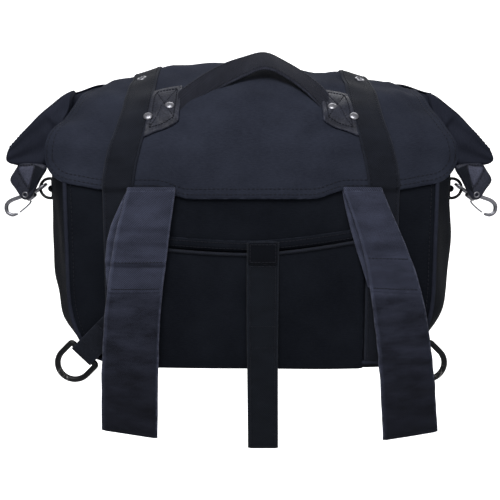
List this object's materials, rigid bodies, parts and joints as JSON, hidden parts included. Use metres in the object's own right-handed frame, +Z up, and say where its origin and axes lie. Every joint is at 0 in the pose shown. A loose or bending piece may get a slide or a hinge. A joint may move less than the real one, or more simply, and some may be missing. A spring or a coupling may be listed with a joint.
{
  "type": "pannier bag",
  "caption": "Canvas pannier bag with a rolled top under a strapped lid, side snap hooks, a carry handle and hook-and-loop straps for a rack.",
  "frame": {"origin": "on the flat rack face of the back panel, at mid width, 147 mm above the base", "axes": "+X to the right seen from the rack side, +Y from the rack face to the front of the bag, +Z up"},
  "size_m": [0.5594, 0.241, 0.4043],
  "materials": {
    "canvas": "matt waxed canvas, dark navy grey",
    "webbing": "matt woven webbing, black",
    "hook_loop_tape": "matt twill tape, dark grey",
    "leather": "satin leather, dark navy",
    "board": "matt stiffener board",
    "nickel": "polished nickel plate",
    "black_metal": "gloss black coated steel"
  },
  "bodies": {
    "bag": {"back_panel": "canvas", "front_panel": "canvas", "base_panel": "canvas", "yoke": "canvas", "pocket_panel": "canvas", "collar_back": "canvas", "collar_front": "canvas", "top_roll": "canvas", "back_board": "board", "base_board": "board", "gusset_left": "canvas", "gusset_right": "canvas", "collar_end_left": "canvas", "collar_end_right": "canvas", "back_webbing_left": "webbing", "back_webbing_right": "webbing", "side_keeper_left": "webbing", "side_keeper_right": "webbing", "corner_keeper_left": "webbing", "corner_keeper_right": "webbing", "snap_stud_left": "nickel", "snap_stud_right": "nickel"},
    "lid": {"lid_panel": "canvas", "lid_webbing_left": "webbing", "lid_webbing_right": "webbing", "lid_eyelet_left": "nickel", "lid_eyelet_right": "nickel", "handle_patch_left": "leather", "handle_patch_right": "leather", "rivet_upper_left": "nickel", "rivet_upper_right": "nickel", "rivet_lower_left": "nickel", "rivet_lower_right": "nickel"},
    "handle": {"handle_strap": "webbing"},
    "centre_strap": {"centre_strap": "hook_loop_tape", "centre_patch": "webbing"},
    "rack_strap_left": {"rack_strap_left": "hook_loop_tape", "rack_strap_under_left": "hook_loop_tape"},
    "ear_left": {"ear_left": "canvas", "ear_tab_left": "leather", "tab_eyelet_left": "nickel"},
    "side_ring_left": {"side_ring_left": "black_metal"},
    "snap_hook_left": {"snap_hook_left": "nickel", "hook_rivet_left": "nickel"},
    "hook_gate_left": {"hook_gate_left": "nickel"},
    "corner_ring_left": {"corner_ring_left": "black_metal"},
    "closure_tip_left": {"closure_tip_left": "leather", "snap_cap_left": "nickel"},
    "rack_strap_right": {"rack_strap_right": "hook_loop_tape", "rack_strap_under_right": "hook_loop_tape"},
    "ear_right": {"ear_right": "canvas", "ear_tab_right": "leather", "tab_eyelet_right": "nickel"},
    "side_ring_right": {"side_ring_right": "black_metal"},
    "snap_hook_right": {"snap_hook_right": "nickel", "hook_rivet_right": "nickel"},
    "hook_gate_right": {"hook_gate_right": "nickel"},
    "corner_ring_right": {"corner_ring_right": "black_metal"},
    "closure_tip_right": {"closure_tip_right": "leather", "snap_cap_right": "nickel"}
  },
  "joints": [
    {"name": "lid_hinge", "type": "hinge", "parent": "bag", "child": "lid", "pos_m": [0, -0.008, 0.0746], "axis": [1, 0, 0], "range_deg": [0, 130]},
    {"name": "handle_fall", "type": "hinge", "parent": "lid", "child": "handle", "pos_m": [0, 0.0085, 0.1025], "axis": [1, 0, 0], "range_deg": [0, 60]},
    {"name": "centre_strap_swing", "type": "hinge", "parent": "bag", "child": "centre_strap", "pos_m": [0.012, -0.009, -0.018], "axis": [-1, 0, 0], "range_deg": [0, 75]},
    {"name": "rack_strap_left_swing", "type": "hinge", "parent": "bag", "child": "rack_strap_left", "pos_m": [-0.096, -0.0046, 0.033], "axis": [-1, 0, 0], "range_deg": [0, 90]},
    {"name": "ear_left_lift", "type": "hinge", "parent": "bag", "child": "ear_left", "pos_m": [-0.206, 0.105, 0.136], "axis": [0, 1, 0], "range_deg": [0, 60]},
    {"name": "side_ring_left_swing", "type": "hinge", "parent": "bag", "child": "side_ring_left", "pos_m": [-0.224, 0.103, 0.028], "axis": [0, 0, -1], "range_deg": [0, 45]},
    {"name": "snap_hook_left_swing", "type": "hinge", "parent": "side_ring_left", "child": "snap_hook_left", "pos_m": [-0.238, 0.103, 0.028], "axis": [0, -1, 0], "range_deg": [-25, 5]},
    {"name": "hook_gate_left_press", "type": "hinge", "parent": "snap_hook_left", "child": "hook_gate_left", "pos_m": [-0.24861, 0.103, 0.01264], "axis": [0, 1, 0], "range_deg": [0, 12], "stiffness_Nm_per_rad": 0.05},
    {"name": "corner_ring_left_swing", "type": "hinge", "parent": "bag", "child": "corner_ring_left", "pos_m": [-0.169, -0.0058, -0.133], "axis": [0.7071, 0, -0.7071], "range_deg": [-5, 60]},
    {"name": "closure_tip_left_peel", "type": "hinge", "parent": "lid", "child": "closure_tip_left", "pos_m": [-0.115, 0.2238, -0.0388], "axis": [1, 0, 0], "range_deg": [0, 60]},
    {"name": "rack_strap_right_swing", "type": "hinge", "parent": "bag", "child": "rack_strap_right", "pos_m": [0.108, -0.0046, 0.033], "axis": [-1, 0, 0], "range_deg": [0, 90]},
    {"name": "ear_right_lift", "type": "hinge", "parent": "bag", "child": "ear_right", "pos_m": [0.206, 0.105, 0.136], "axis": [0, -1, 0], "range_deg": [0, 60]},
    {"name": "side_ring_right_swing", "type": "hinge", "parent": "bag", "child": "side_ring_right", "pos_m": [0.224, 0.103, 0.028], "axis": [0, 0, 1], "range_deg": [0, 45]},
    {"name": "snap_hook_right_swing", "type": "hinge", "parent": "side_ring_right", "child": "snap_hook_right", "pos_m": [0.238, 0.103, 0.028], "axis": [0, 1, 0], "range_deg": [-25, 5]},
    {"name": "hook_gate_right_press", "type": "hinge", "parent": "snap_hook_right", "child": "hook_gate_right", "pos_m": [0.24861, 0.103, 0.01264], "axis": [0, -1, 0], "range_deg": [0, 12], "stiffness_Nm_per_rad": 0.05},
    {"name": "corner_ring_right_swing", "type": "hinge", "parent": "bag", "child": "corner_ring_right", "pos_m": [0.169, -0.0058, -0.133], "axis": [0.7071, 0, 0.7071], "range_deg": [-5, 60]},
    {"name": "closure_tip_right_peel", "type": "hinge", "parent": "lid", "child": "closure_tip_right", "pos_m": [0.115, 0.2238, -0.0388], "axis": [1, 0, 0], "range_deg": [0, 60]}
  ]
}
